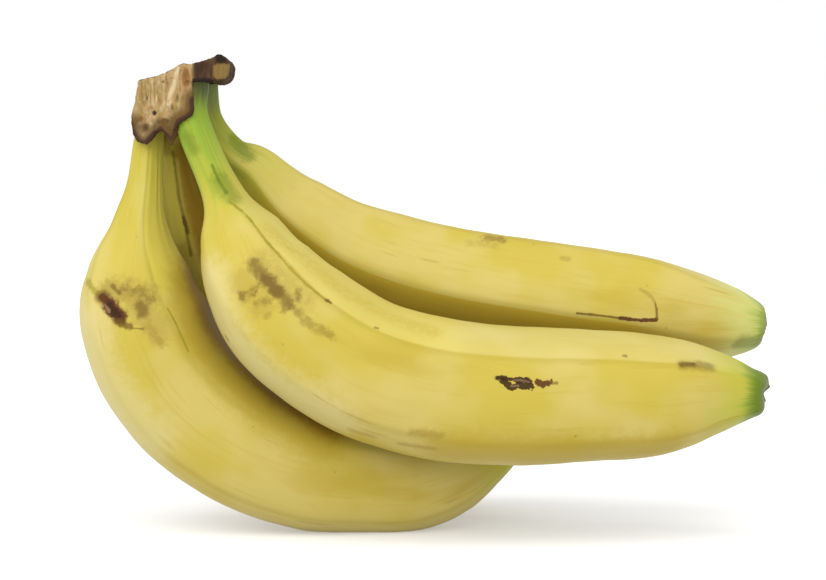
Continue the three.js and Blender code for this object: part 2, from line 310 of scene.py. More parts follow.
def tipRise(plan, angle, toTip, thick, sweep):
    # Lobes and a ruffle stand round the blossom end
    rise = plan["tipSet"]
    for at, width, height in plan["lobes"]:
        gap = (math.degrees(angle) - at + 180) % 360 - 180
        rise += height * bell(gap, width)
    wide = skinPlan["ruffleWide"]
    ruffle = noise.noise(Vector((wide * math.cos(angle), wide * math.sin(angle), 0)) + sweep)
    rise += ruffle * skinPlan["ruffle"]
    return rise * (1 - smoothStep(0, skinPlan["lobeReach"], toTip)) * smoothStep(0, 0.6, thick)


def growFruit(name, plan):
    stations = fruitStations(plan)
    sides, rings = skinPlan["sides"], len(stations) - 1
    pitch = 2 * math.pi / skinPlan["ridges"]
    length = stations[-1]["along"]
    endRadius = stations[-len(skinPlan["tipCap"]) - 1]["radius"]
    sweep = Vector((plan["seed"], 2.0 * plan["seed"], 0.0))
    bm = bmesh.new()
    # A flat sheet, one square for each facet of the skin, is rolled up into the fruit
    bm.loops.layers.uv.new("UVMap")
    bmesh.ops.create_grid(bm, x_segments=sides, y_segments=rings, size=0.5, calc_uvs=True)
    skinLayer = bm.verts.layers.float_vector.new("peelSpace")
    ridgeLayer = bm.verts.layers.float.new("offRidge")
    tipLayer = bm.verts.layers.float.new("toTip")
    scarLayer = bm.verts.layers.float.new("inCap")
    facets = [bm.verts.layers.float.new("facet" + str(number)) for number in range(skinPlan["ridges"])]
    for v in bm.verts:
        station = stations[round((v.co.y + 0.5) * rings)]
        middle, radius, along = station["middle"], station["radius"], station["along"]
        toTip = length - along
        turn = (v.co.x + 0.5) * 2 * math.pi
        angle = ridgeAngle(plan, turn, along, toTip)
        offRidge = abs(turn - pitch * round(turn / pitch))
        outward = station["belly"] * math.cos(angle) + station["near"] * math.sin(angle)
        reach = radius * ridgeFactor(plan, offRidge, radius)
        reach += lumpsAt(middle + outward * reach, angle, along, toTip, sweep)
        rise = tipRise(plan, angle, toTip, radius / endRadius, sweep)
        spot = middle + outward * reach + station["run"] * rise
        # The belly is pressed flat on the floor
        spot.z = max(spot.z, 0.0)
        rolled = skinPlan["rollRadius"]
        v[skinLayer] = Vector((rolled * math.cos(angle), rolled * math.sin(angle), along)) * mm
        v[ridgeLayer] = offRidge / (pitch / 2)
        v[tipLayer] = toTip * mm
        v[scarLayer] = station["inCap"]
        # Each facet is marked between its two ridges
        v[facets[int(turn / pitch) % skinPlan["ridges"]]] = float(offRidge > 0.01)
        v.co = (spot + handMoved) * mm
    bmesh.ops.remove_doubles(bm, verts=bm.verts, dist=2e-6)
    rims = [e for e in bm.edges if e.is_boundary]
    filled = bmesh.ops.holes_fill(bm, edges=rims, sides=0)["faces"]
    bmesh.ops.poke(bm, faces=filled)
    print(name, "grown,", round(length), "mm long,", len(bm.faces), "faces")
    return smoothPiece(bm, name)


def smoothPiece(bm, name):
    bmesh.ops.recalc_face_normals(bm, faces=bm.faces)
    for face in bm.faces:
        face.smooth = True
    return pieceFrom(bm, name)


def pieceFrom(bm, name):
    mesh = bpy.data.meshes.new(name)
    bm.to_mesh(mesh)
    bm.free()
    piece = bpy.data.objects.new(name, mesh)
    bpy.context.scene.collection.objects.link(piece)
    return piece


# The crown: outlines as [x, z], cuts as a point and the way they look in degrees from +X, millimetres
crownPlan = {
    "voxel": 0.4, "smoothings": 2, "near": -20, "far": 23,
    # Lumps as a size and a height, the depth of skin that counts as sawn, and where the block ends
    "lumps": [(5, 0.45), (1.8, 0.2)], "fibreHeight": 0.25, "cutSkin": (-0.9, -0.35),
    "blockEnd": (-64.4, -63.2),
    "block": [
        (-80.8, 134.1), (-77.9, 134.7), (-75.8, 135.1), (-73.9, 135.5), (-72.2, 136), (-70.6, 137),
        (-69.3, 137.7), (-68.1, 138.4), (-66.6, 138.8), (-64.8, 138.5), (-64.1, 137), (-64.1, 132),
        (-63.8, 128), (-63.7, 125.5), (-64.3, 124), (-66.1, 123), (-67.6, 122.2), (-68.4, 121.2),
        (-69.4, 119.8), (-72.2, 119.4), (-73.4, 119.5), (-74.6, 119.5), (-75.5, 118.7), (-76.2, 117.5),
        (-76.9, 116.3), (-78, 115.6), (-79.5, 115.7), (-81.1, 116.6), (-82, 118.4), (-82.4, 121.4),
        (-82.6, 123.7), (-82.2, 126), (-81.8, 128.9), (-81.3, 131.5),
    ],
    "bar": [
        (-66.5, 138.3), (-63.4, 138.6), (-61.4, 139.3), (-59.3, 139.8), (-57.8, 140.4), (-56.8, 140.9),
        (-55.8, 140.9), (-54.6, 140.3), (-53.9, 139.3), (-53.6, 138), (-53.8, 136.6), (-54, 135.2),
        (-54.6, 134.2), (-55.7, 133.7), (-57, 133.5), (-59.4, 133.6), (-61.4, 133.6), (-66.5, 133.3),
    ],
    "barNear": -14.2, "barFar": 13,
    "nearCut": ((-64, -14.4, 0), 244, 0), "facetCut": ((-69.6, -11.6, 131), 254, -2),
    "farCut": ((-72, 19, 0), 82, 0), "barCut": ((-57.6, -14.2, 0), 308, 0),
    "barBackCut": ((-56, 13, 0), 50, 0),
    "web": {"top": (-70.6, -7.5, 122.5), "tip": (-70.5, -9.6, 114.9), "radius": 4.3, "sides": 12},
    "marks": {
        "lowerRim": [(-82.6, 121.5), (-81.9, 118), (-80.5, 116.2), (-78.2, 115.6), (-76.6, 116.8),
                     (-75.4, 118.8), (-73.6, 119.6), (-71.8, 118.2), (-70.7, 115.8), (-69.4, 119),
                     (-68, 122), (-65.6, 123.2), (-63.9, 124.8), (-63.8, 128.5)],
        # The dark rim: where it starts to fade and where it ends, its strength and its height
        "rim": (0.1, 1.7, 0.85, 0.35), "rimLumps": (1.6, 4),
        # The horseshoe: place, radius, width, flatness and height, and where it opens upwards
        "horseshoe": (-78.5, 120.2, 2.1, 0.6, 0.8, 0.5), "shoeOpens": (0.8, 2.4),
        # The dimple in it: width and strength of its brown, its black and its depth
        "dimple": ((1.25, 0.85), (0.6, 0.5), (1, 0.6)),
        # The pale ridge: its line, and its width, lump size, strength and height
        "paleRidge": [(-68.4, 137.4), (-69.4, 133.5), (-70.6, 129.5), (-71.1, 125.5)],
        "ridge": (0.95, 1.5, 0.75, 0.35),
        # The rusty hollow: place, half width, half height. The knob: place, width, height
        "rust": (-66, 134.6, 1.4, 2.9), "rustDepth": 0.5, "knob": (-56, 140.8, 1.6, 0.5),
        # Pits: place, half width, half height, depth, darkness
        "pits": [(-75.7, 124.5, 0.8, 0.8, 0.8, 0.9), (-77.9, 128.9, 0.6, 1.2, 0.4, 0.5),
                 (-74.6, 121.9, 0.6, 0.9, 0.4, 0.5), (-79.6, 128, 0.4, 1.6, 0.3, 0.35)],
        # Patches: place, half width, half height, layer, strength
        "patches": [(-74.9, 129, 0.7, 2.2, "paleShare", 0.42),
                    (-73.4, 125.8, 0.8, 2, "paleShare", 0.42),
                    (-78.7, 128.8, 0.6, 2, "paleShare", 0.4), (-68.6, 128.9, 0.8, 1.9, "webShare", 0.5),
                    (-70.1, 126.2, 0.7, 1.8, "webShare", 0.5), (-72.4, 122, 2, 1.2, "webShare", 0.8),
                    (-79.7, 123, 0.8, 0.9, "orangeShare", 0.8),
                    (-76.6, 126.2, 1.1, 0.9, "orangeShare", 0.5),
                    (-72.8, 133.6, 1, 0.7, "webShare", 0.5)],
        "barUnder": [(-64.5, 133.5), (-59, 133.6)],
        # Borders, each from where it starts to where it ends, and strengths
        "webReach": (2, 6), "webFlat": 0.7, "shadeReach": (0.5, 7), "shadeTone": 0.6,
        "endDepth": (-2.4, -0.8), "endSide": (-59.4, -56), "endFoot": (133.2, 135.2),
        "endTop": (137.6, 139.8), "endTone": 0.8, "knobDepth": (-10, 0), "underReach": (0.3, 1.4),
        "underStart": (-64.4, -63.4), "underEnd": (-58.5, -57),
    },
}


def cutNormal(cut):
    # A point on the cut and the way it faces
    point, looks, tips = cut
    turn, rise = math.radians(looks), math.radians(tips)
    level = math.cos(rise)
    return Vector(point), Vector((math.cos(turn) * level, math.sin(turn) * level, math.sin(rise)))


def sawnSlab(outline, near, far, cuts):
    bm = bmesh.new()
    face = bm.faces.new([bm.verts.new((x, near, z)) for x, z in outline])
    grown = bmesh.ops.extrude_face_region(bm, geom=[face])["geom"]
    pulled = [part for part in grown if isinstance(part, bmesh.types.BMVert)]
    bmesh.ops.translate(bm, verts=pulled, vec=(0, far - near, 0))
    for cut in cuts:
        point, normal = cutNormal(cut)
        bmesh.ops.bisect_plane(bm, geom=bm.verts[:] + bm.edges[:] + bm.faces[:], dist=1e-5,
                               plane_co=point, plane_no=normal, clear_outer=True)
        bmesh.ops.holes_fill(bm, edges=[e for e in bm.edges if e.is_boundary], sides=0)
    bmesh.ops.recalc_face_normals(bm, faces=bm.faces)
    mesh = bpy.data.meshes.new("slab")
    bm.to_mesh(mesh)
    bm.free()
    return mesh


def growCrown(plan):
    bm = bmesh.new()
    bm.from_mesh(sawnSlab(plan["block"], plan["near"], plan["far"],
                          [plan["nearCut"], plan["facetCut"], plan["farCut"]]))
    bm.from_mesh(sawnSlab(plan["bar"], plan["barNear"], plan["barFar"],
                          [plan["barCut"], plan["barBackCut"]]))
    web = plan["web"]
    lean = Vector(web["top"]) - Vector(web["tip"])
    place = Matrix.Translation((Vector(web["top"]) + Vector(web["tip"])) / 2)
    place = place @ lean.to_track_quat("Z", "X").to_matrix().to_4x4()
    bmesh.ops.create_cone(bm, cap_ends=True, segments=web["sides"], radius1=0.3, radius2=web["radius"],
                          depth=lean.length, matrix=place)
    rough = pieceFrom(bm, "roughCrown")
    # The overlapping slabs are made one skin
    joined = rough.modifiers.new("oneSkin", "REMESH")
    joined.mode = "VOXEL"
    joined.voxel_size = plan["voxel"]
    skinMesh = bpy.data.meshes.new_from_object(rough.evaluated_get(bpy.context.evaluated_depsgraph_get()))
    bpy.data.objects.remove(rough)
    bm = bmesh.new()
    bm.from_mesh(skinMesh)
    for _ in range(plan["smoothings"]):
        bmesh.ops.smooth_vert(bm, verts=bm.verts, factor=0.5,
                              use_axis_x=True, use_axis_y=True, use_axis_z=True)
    roughenCrown(bm, plan)
    for v in bm.verts:
        v.co = (v.co + handMoved) * mm
    print("crown grown,", len(bm.faces), "faces")
    return smoothPiece(bm, "crownPiece")


def gapToLine(x, z, line):
    # Distance in the sawn face's outline plane
    spot = Vector((x, z))
    best = 1e9
    for start, end in zip(line, line[1:]):
        start, way = Vector(start), Vector(end) - Vector(start)
        share = min(max((spot - start).dot(way) / way.length_squared, 0), 1)
        best = min(best, (spot - start - way * share).length)
    return best


def ovalShare(p, x, z, wide, high):
    # How strong a soft oval mark is at a point
    return bell(math.hypot((p.x - x) / wide, (p.z - z) / high), 1)


def markFront(p, front, marks, value):
    # The marks of the sawn face that looks forwards, and how far they lift or sink it
    start, end, tone, high = marks["rim"]
    end += sum(noise.noise(p / size) for size in marks["rimLumps"]) / 2
    lowerRim = 1 - smoothStep(start, end, gapToLine(p.x, p.z, marks["lowerRim"]))
    value["rimShare"] = lowerRim * front * tone
    rise = lowerRim * front * high
    # A horseshoe of pale cork round a dark dimple
    x, z, ring, width, flat, high = marks["horseshoe"]
    gap = math.hypot(p.x - x, (p.z - z) * flat)
    shoe = bell(gap - ring, width) * (1 - smoothStep(*marks["shoeOpens"], p.z - z))
    brown, black, deep = (strength * bell(gap, wide) for wide, strength in marks["dimple"])
    value["paleShare"] = shoe * front
    value["webShare"] = brown * front
    value["darkShare"] = black * front
    rise += (high * shoe - deep) * front
    for x, z, wide, high, deep, dark in marks["pits"]:
        dent = ovalShare(p, x, z, wide, high) * front
        rise -= dent * deep
        value["darkShare"] = max(value["darkShare"], dent * dark)
    # A pale ridge runs down beside a rusty hollow
    width, lump, tone, high = marks["ridge"]
    ridge = bell(gapToLine(p.x, p.z, marks["paleRidge"]), width) * front
    ridge *= 0.75 + noise.noise(p / lump) * 0.5
    rise += high * ridge
    value["paleShare"] = max(value["paleShare"], tone * ridge)
    hollow = ovalShare(p, *marks["rust"]) * front
    rise -= marks["rustDepth"] * hollow
    value["orangeShare"] = hollow
    for x, z, wide, high, layer, strength in marks["patches"]:
        value[layer] = max(value[layer], ovalShare(p, x, z, wide, high) * front * strength)
    return rise


def markBar(p, inCut, plan, value):
    # The shade round the web, the bar's tan end and dark underside, and the black knob on top
    marks = plan["marks"]
    x, _, z = plan["web"]["tip"]
    atWeb = 1 - smoothStep(*marks["webReach"], math.hypot(p.x - x, (p.z - z) * marks["webFlat"]))
    shade = 1 - smoothStep(*marks["shadeReach"], gapToLine(p.x, p.z, marks["lowerRim"]))
    value["webShare"] = max(value["webShare"], atWeb, shade * marks["shadeTone"])
    end = smoothStep(*marks["endDepth"], inCut) * smoothStep(*marks["endSide"], p.x)
    end *= smoothStep(*marks["endFoot"], p.z) * (1 - smoothStep(*marks["endTop"], p.z))
    value["endShare"] = end * marks["endTone"]
    x, z, width, high = marks["knob"]
    knob = bell(math.hypot(p.x - x, p.z - z), width) * (1 - smoothStep(*marks["knobDepth"], p.y))
    under = 1 - smoothStep(*marks["underReach"], gapToLine(p.x, p.z, marks["barUnder"]))
    under *= smoothStep(*marks["underStart"], p.x) * (1 - smoothStep(*marks["underEnd"], p.x))
    value["darkShare"] = max(value["darkShare"], knob, under)
    return high * knob


def roughenCrown(bm, plan):
    # Lumps and fibres all over, and the marks, each written to a layer that the material reads
    bm.normal_update()
    names = ("sawn", "rimShare", "paleShare", "darkShare", "orangeShare", "endShare", "webShare")
    layers = {name: bm.verts.layers.float.new(name) for name in names}
    cuts = {key: cutNormal(plan[key]) for key in ("nearCut", "facetCut", "farCut", "barCut")}
    moves = {}
    for v in bm.verts:
        p = v.co
        value = dict.fromkeys(names, 0.0)
        inCut = {key: (p - point).dot(normal) for key, (point, normal) in cuts.items()}
        atCut = {key: smoothStep(*plan["cutSkin"], depth) for key, depth in inCut.items()}
        onBlock = 1 - smoothStep(*plan["blockEnd"], p.x)
        front = max(atCut["nearCut"], atCut["facetCut"]) * onBlock
        value["sawn"] = max(front, atCut["farCut"] * onBlock)
        rise = sum(noise.noise(p / size) * height for size, height in plan["lumps"])
        rise += noise.noise(Vector((p.x * 1.3, p.y * 1.3, p.z * 0.2))) * plan["fibreHeight"]
        if front > 0:
            rise += markFront(p, front, plan["marks"], value)
        rise += markBar(p, inCut["barCut"], plan, value)
        for name in names:
            v[layers[name]] = value[name]
        moves[v] = v.normal * rise
    for v, move in moves.items():
        v.co += move


def addNode(tree, kind, **values):
    node = tree.nodes.new(kind)
    for key, value in values.items():
        setattr(node, key, value)
    return node


def feed(tree, value, socket):
    # A number or colour is set on the socket, another node's output is linked to it
    if isinstance(value, bpy.types.NodeSocket):
        tree.links.new(value, socket)
    elif socket.type == "RGBA":
        socket.default_value = (*value, 1)
    else:
        socket.default_value = value


def feedAll(tree, node, values):
    for name, value in values.items():
        feed(tree, value, node.inputs[name])


def mathOf(tree, operation, first, second=0.0):
    node = addNode(tree, "ShaderNodeMath", operation=operation)
    feed(tree, first, node.inputs[0])
    feed(tree, second, node.inputs[1])
    return node.outputs[0]


def sumOf(tree, first, second):
    return mathOf(tree, "ADD", first, second)


def productOf(tree, *values):
    result = values[0]
    for value in values[1:]:
        result = mathOf(tree, "MULTIPLY", result, value)
    return result


def vectorOf(tree, operation, first, second=(0, 0, 0)):
    node = addNode(tree, "ShaderNodeVectorMath", operation=operation)
    feed(tree, first, node.inputs[0])
    feed(tree, second, node.inputs[1])
    return node.outputs["Value" if operation in ("DOT_PRODUCT", "LENGTH") else "Vector"]


def noiseOf(tree, vector, size, detail=2.0, roughness=0.5):
    # Cloudy noise whose patches are about as large as size, in millimetres
    node = addNode(tree, "ShaderNodeTexNoise")
    feedAll(tree, node, {"Vector": vector, "Scale": 1 / (size * mm), "Detail": detail,
                         "Roughness": roughness})
    return node.outputs["Fac"]


def rampOf(tree, value, low, high, first=0.0, last=1.0):
    node = addNode(tree, "ShaderNodeMapRange", interpolation_type="SMOOTHSTEP")
    feedAll(tree, node, {"Value": value, "From Min": low, "From Max": high, "To Min": first, "To Max": last})
    return node.outputs["Result"]


def mixOf(tree, share, first, second):
    node = addNode(tree, "ShaderNodeMix", data_type="RGBA")
    feed(tree, share, node.inputs[0])
    feed(tree, first, node.inputs[6])
    feed(tree, second, node.inputs[7])
    return node.outputs[2]


def attributeOf(tree, name, output="Fac"):
    return addNode(tree, "ShaderNodeAttribute", attribute_name=name).outputs[output]


def lineDistance(tree, place, line):
    # How far the place is from a bent line over the skin
    nearest = None
    for start, end in zip(line, line[1:]):
        way = end - start
        offset = vectorOf(tree, "SUBTRACT", place, start)
        share = productOf(tree, vectorOf(tree, "DOT_PRODUCT", offset, way), 1 / way.length_squared)
        share = mathOf(tree, "MINIMUM", mathOf(tree, "MAXIMUM", share, 0.0), 1.0)
        scaled = addNode(tree, "ShaderNodeVectorMath", operation="SCALE")
        feed(tree, way, scaled.inputs[0])
        feed(tree, share, scaled.inputs["Scale"])
        gap = vectorOf(tree, "LENGTH", vectorOf(tree, "SUBTRACT", offset, scaled.outputs["Vector"]))
        nearest = gap if nearest is None else mathOf(tree, "MINIMUM", nearest, gap)
    return nearest


def newMaterial(name):
    material = bpy.data.materials.new(name)
    material.use_nodes = True
    tree = material.node_tree
    return material, tree, tree.nodes["Principled BSDF"]


def laidOn(fruit, line):
    # A line's corners moved to the nearest points of the skin
    return [fruit.closest_point_on_mesh((Vector(corner) + handMoved) * mm)[1] for corner in line]


# Colours of the skin in daylight, and of painted light and shade, as red, green and blue shares of light
tones = {
    "yellow": (0.395, 0.31, 0.048), "straw": (0.425, 0.345, 0.095), "gold": (0.34, 0.245, 0.026),
    "cream": (0.46, 0.40, 0.14), "sunny": (0.50, 0.42, 0.06), "palest": (0.48, 0.42, 0.19),
    "paintedUnderShade": (0.32, 0.215, 0.010), "shade": (0.24, 0.13, 0.006), "olive": (0.21, 0.17, 0.012),
    "moss": (0.22, 0.245, 0.028), "paleMoss": (0.14, 0.18, 0.065), "darkGreen": (0.085, 0.125, 0.008),
    "brightGreen": (0.19, 0.29, 0.028),
    "limeYellow": (0.33, 0.33, 0.035), "paleLime": (0.42, 0.43, 0.14), "greyGreen": (0.075, 0.09, 0.030),
    "rimGrey": (0.13, 0.14, 0.07), "ochre": (0.26, 0.18, 0.03), "tan": (0.32, 0.24, 0.05),
    "brown": (0.10, 0.052, 0.008), "oliveBrown": (0.12, 0.075, 0.010), "redBrown": (0.07, 0.02, 0.008),
    "darkBrown": (0.026, 0.010, 0.005), "pinkTan": (0.30, 0.17, 0.09), "scarTan": (0.16, 0.095, 0.05),
}

# What all the skins share, in millimetres
peelPlan = {
    # Each noise: its size, detail and roughness, and for streaks how far their place is squeezed lengthwise
    "patch": (26, 2, 0.5), "cloud": (12, 3, 0.5), "cloudSqueeze": 0.3,
    "streak": (1.3, 3, 0.6), "streakSqueeze": 0.06, "grain": (0.8, 3, 0.6),
    "coarse": (2.6, 2, 0.6), "fine": (0.9, 2, 0.6), "blotch": (1.7, 1, 0.5),
    "scratch": (2.2, 1, 0.4), "scratchSqueeze": 0.12, "freckleGap": 7,
    # Each ramp: where it starts and where it is full, and its strength at both
    "strawPatches": (0.38, 0.62), "goldClouds": (0.5, 0.75, 0, 0.6), "goldStreaks": (0.52, 0.75, 0, 0.3),
    "oliveRidges": (0.16, 0, 0, 0.22), "facetWide": (0.2, 0.9), "facetPatches": (0.3, 0.6, 0.7, 1),
    "freckle": (0.085, 0.03, 0, 0.5), "freckleClouds": (0.5, 0.6), "scratches": (0.70, 0.76, 0, 0.35),
    "scratchPatches": (0.45, 0.6), "scarEdge": (0.35, 1), "blotches": (0.34, 0.54, 0.5, 1),
    # The green ends: how uneven their borders are, and where they begin, are full, and how strong
    "cloudyBorder": 50, "streakyBorder": 30, "endUneven": 0.35, "rimUneven": 0.1,
    "neckFade": (1.25, 0.8), "neckReach": 0.8, "crownReach": (12, 2), "tipFade": (22, 6, 0.8),
    "tipFull": 2, "rimGrey": (2.2, 0.4, 0.6),
    # The wobble of a mark's edge, and the wobbles between which a mark is blotchy
    "coarseWobble": 3.2, "fineWobble": 1.8, "blotchyWobbles": (0.9, 1.5),
    # The sheen and the fine relief
    "specular": 0.18, "specularTint": (0.95, 0.85, 0.5), "gloss": (0.3, 0.7, 0.42, 0.52),
    "marredGloss": 0.3, "bumpStrength": 0.25, "bumpHeight": 0.25, "grainShare": 0.5, "streakShare": 0.7,
    "marredShare": 5.0,
}


def drawnNoise(tree, place, plan, kind):
    # Noise at a place whose Z is squeezed, so that it comes out as streaks
    squeezed = vectorOf(tree, "MULTIPLY", place, (1, 1, plan[kind + "Squeeze"]))
    return noiseOf(tree, squeezed, *plan[kind])


def nearOf(tree, distance, far, close, strength):
    # Full strength up to the close distance and none beyond the far one, both in millimetres
    return rampOf(tree, distance, far * mm, close * mm, 0, strength)


def skinFields(tree, plan):
    # Places on the skin, and noise on it, from broad patches to fine grain
    place = addNode(tree, "ShaderNodeTexCoord").outputs["Object"]
    skin = attributeOf(tree, "peelSpace", "Vector")
    split = addNode(tree, "ShaderNodeSeparateXYZ")
    feed(tree, skin, split.inputs[0])
    fields = {"place": place, "along": split.outputs["Z"], "tip": attributeOf(tree, "toTip"),
              "ridge": attributeOf(tree, "offRidge")}
    shifted = vectorOf(tree, "ADD", skin, (plan["seed"], 0, 0))
    fields["shifted"] = shifted
    fields["cloud"] = drawnNoise(tree, shifted, peelPlan, "cloud")
    fields["patch"] = noiseOf(tree, shifted, *peelPlan["patch"])
    fields["streak"] = drawnNoise(tree, shifted, peelPlan, "streak")
    fields["grain"] = noiseOf(tree, shifted, *peelPlan["grain"])
    return fields


def yellowSkin(tree, plan, fields):
    # The yellow, with paler and deeper clouds, faint lengthwise streaks and olive on the ridges
    patch, cloud, streak, along = (fields[key] for key in ("patch", "cloud", "streak", "along"))
    colour = mixOf(tree, rampOf(tree, patch, *peelPlan["strawPatches"]), tones["yellow"], tones["straw"])
    for field, ramp, tone in ((cloud, "goldClouds", "gold"), (streak, "goldStreaks", "gold"),
                              (fields["ridge"], "oliveRidges", "olive")):
        colour = mixOf(tree, rampOf(tree, field, *peelPlan[ramp]), colour, tones[tone])
    # Painted light and painted shade, laid on whole facets
    for number, tone, start, end, fade, strength in plan["facets"]:
        wide = rampOf(tree, attributeOf(tree, "facet" + str(number)), *peelPlan["facetWide"])
        share = productOf(tree, nearOf(tree, along, start, start + fade, strength),
                          nearOf(tree, along, end, end - fade, 1), wide,
                          rampOf(tree, patch, *peelPlan["facetPatches"]))
        colour = mixOf(tree, share, colour, tones[tone])
    return colour


def greenEnds(tree, plan, fields, colour):
    # Green at the stalk and at the blossom end, with an uneven border, and a grey rim round the scar
    cloudy = mathOf(tree, "SUBTRACT", fields["cloud"], 0.5)
    streaky = mathOf(tree, "SUBTRACT", fields["streak"], 0.5)
    ragged = sumOf(tree, productOf(tree, cloudy, peelPlan["cloudyBorder"] * mm),
                   productOf(tree, streaky, peelPlan["streakyBorder"] * mm))
    slight = productOf(tree, ragged, peelPlan["endUneven"])
    fromRoot = sumOf(tree, fields["along"], ragged)
    fromCrown = sumOf(tree, fields["along"], slight)
    fromTip = sumOf(tree, fields["tip"], slight)
    fromRim = sumOf(tree, fields["tip"], productOf(tree, ragged, peelPlan["rimUneven"]))
    neckTone, neckStart, neckEnd, neckShare = plan["neck"]
    crownTone, crownShare = plan["crownEnd"]
    tipTone, tipReach, tipShare = plan["tip"]
    darkReach, darkShare = plan["tipDark"]
    fadeReach, fadeShare = peelPlan["neckFade"]
    full = peelPlan["tipFull"]
    for distance, far, close, share, tone in (
            (fromRoot, neckEnd * fadeReach, neckStart, neckShare * fadeShare, "limeYellow"),
            (fromRoot, neckEnd * peelPlan["neckReach"], neckStart, neckShare, neckTone),
            (fromCrown, *peelPlan["crownReach"], crownShare, crownTone),
            (fromTip, *peelPlan["tipFade"], plan["tipFade"]), (fromTip, tipReach, full, tipShare, tipTone),
            (fromRim, darkReach, full, darkShare, "darkGreen"), (fromRim, *peelPlan["rimGrey"], "rimGrey")):
        colour = mixOf(tree, nearOf(tree, distance, far, close, share), colour, tones[tone])
    return colour


def layMarks(tree, plan, fruit, fields, colour):
    # Bruises, scars, lines, and painted sheen and shade, each along its own line and ragged by noise
    place = fields["place"]
    coarse = mathOf(tree, "SUBTRACT", noiseOf(tree, place, *peelPlan["coarse"]), 0.5)
    fields["fine"] = mathOf(tree, "SUBTRACT", noiseOf(tree, place, *peelPlan["fine"]), 0.5)
    wobble = sumOf(tree, productOf(tree, coarse, peelPlan["coarseWobble"]),
                   productOf(tree, fields["fine"], peelPlan["fineWobble"]))
    # Marks with the same wobble share one shift of their edge
    amounts = sorted({mark[-1] for mark in plan["marks"]})
    shifts = {amount: productOf(tree, wobble, amount * mm) for amount in amounts}
    blotch = rampOf(tree, noiseOf(tree, place, *peelPlan["blotch"]), *peelPlan["blotches"])
    least, most = peelPlan["blotchyWobbles"]
    marred = 0.0
    for line, radius, soft, tone, strength, amount in plan["marks"]:
        gap = sumOf(tree, lineDistance(tree, place, laidOn(fruit, line)), shifts[amount])
        share = nearOf(tree, gap, radius + soft, radius, strength)
        # Bruises are blotchy, while broad patches and thin lines aren't
        if least < amount < most:
            share = productOf(tree, share, blotch)
        colour = mixOf(tree, share, colour, tones[tone])
        if tone in ("darkBrown", "redBrown"):
            marred = mathOf(tree, "MAXIMUM", marred, share)
    fields["marred"] = marred
    return colour


def smallMarks(tree, fields, colour):
    # Freckles, fine scratches, and the dried scar at the blossom end
    cells = addNode(tree, "ShaderNodeTexVoronoi")
    feedAll(tree, cells, {"Vector": fields["shifted"], "Scale": 1 / (peelPlan["freckleGap"] * mm)})
    freckle = productOf(tree, rampOf(tree, cells.outputs["Distance"], *peelPlan["freckle"]),
                        rampOf(tree, fields["cloud"], *peelPlan["freckleClouds"]))
    colour = mixOf(tree, freckle, colour, tones["oliveBrown"])
    scratch = drawnNoise(tree, fields["shifted"], peelPlan, "scratch")
    scratch = productOf(tree, rampOf(tree, scratch, *peelPlan["scratches"]),
                        rampOf(tree, fields["patch"], *peelPlan["scratchPatches"]))
    colour = mixOf(tree, scratch, colour, tones["ochre"])
    scar = rampOf(tree, attributeOf(tree, "inCap"), *peelPlan["scarEdge"])
    return mixOf(tree, scar, colour, tones["darkBrown"])


def peelSheen(tree, fields, shader):
    # A soft sheen that is duller on the scars, and a fine relief that is deeper there
    marred = fields["marred"]
    gloss = rampOf(tree, fields["cloud"], *peelPlan["gloss"])
    gloss = sumOf(tree, gloss, productOf(tree, marred, peelPlan["marredGloss"]))
    feedAll(tree, shader, {"Specular IOR Level": peelPlan["specular"], "Roughness": gloss,
                           "Specular Tint": peelPlan["specularTint"]})
    relief = sumOf(tree, productOf(tree, fields["grain"], peelPlan["grainShare"]),
                   productOf(tree, fields["streak"], peelPlan["streakShare"]))
    relief = sumOf(tree, relief, productOf(tree, marred, fields["fine"], peelPlan["marredShare"]))
    reliefOn(tree, shader, relief, peelPlan["bumpStrength"], peelPlan["bumpHeight"])


def reliefOn(tree, shader, height, strength, depth):
    bump = addNode(tree, "ShaderNodeBump")
    feedAll(tree, bump, {"Strength": strength, "Distance": depth * mm, "Height": height})
    feed(tree, bump.outputs["Normal"], shader.inputs["Normal"])


def peelMaterial(name, plan, fruit):
    material, tree, shader = newMaterial(name)
    fields = skinFields(tree, plan)
    colour = yellowSkin(tree, plan, fields)
    colour = greenEnds(tree, plan, fields, colour)
    colour = layMarks(tree, plan, fruit, fields, colour)
    colour = smallMarks(tree, fields, colour)
    feed(tree, colour, shader.inputs["Base Color"])
    peelSheen(tree, fields, shader)
    print(name, "mixed,", len(plan["marks"]), "marks laid on")
    return material


# The crown's colours, in the same way
barkTones = {
    "tan": (0.32, 0.215, 0.095), "cream": (0.46, 0.36, 0.21), "yellowTan": (0.23, 0.155, 0.05),
    "rust": (0.20, 0.085, 0.022), "rim": (0.045, 0.020, 0.012), "bark": (0.038, 0.017, 0.009),
    "barkLight": (0.075, 0.040, 0.018), "black": (0.016, 0.011, 0.008), "endTan": (0.21, 0.135, 0.04),
    "web": (0.12, 0.065, 0.016), "deepWeb": (0.085, 0.045, 0.010),
}

# Its noises and ramps, as in the plan of the skins
barkPlan = {
    "fibre": (0.9, 3, 0.65), "fibreSqueeze": 0.16, "broad": (3.6, 3, 0.6), "broadSqueeze": 0.35,
    "speck": (0.9, 2, 0.7), "speckSqueeze": 0.6,
    "lightBark": (0.4, 0.65), "yellowSawn": (0.38, 0.62), "creamFibres": (0.52, 0.7, 0, 0.6),
    "rustFibres": (0.46, 0.34, 0, 0.6), "darkSpecks": (0.58, 0.68, 0, 0.6),
    "fraying": 0.3, "layerEdge": (0.35, 0.75, 0, 0.92),
    "specular": 0.12, "gloss": (0.3, 0.7, 0.68, 0.85), "bumpStrength": 0.5, "bumpHeight": 0.4,
}


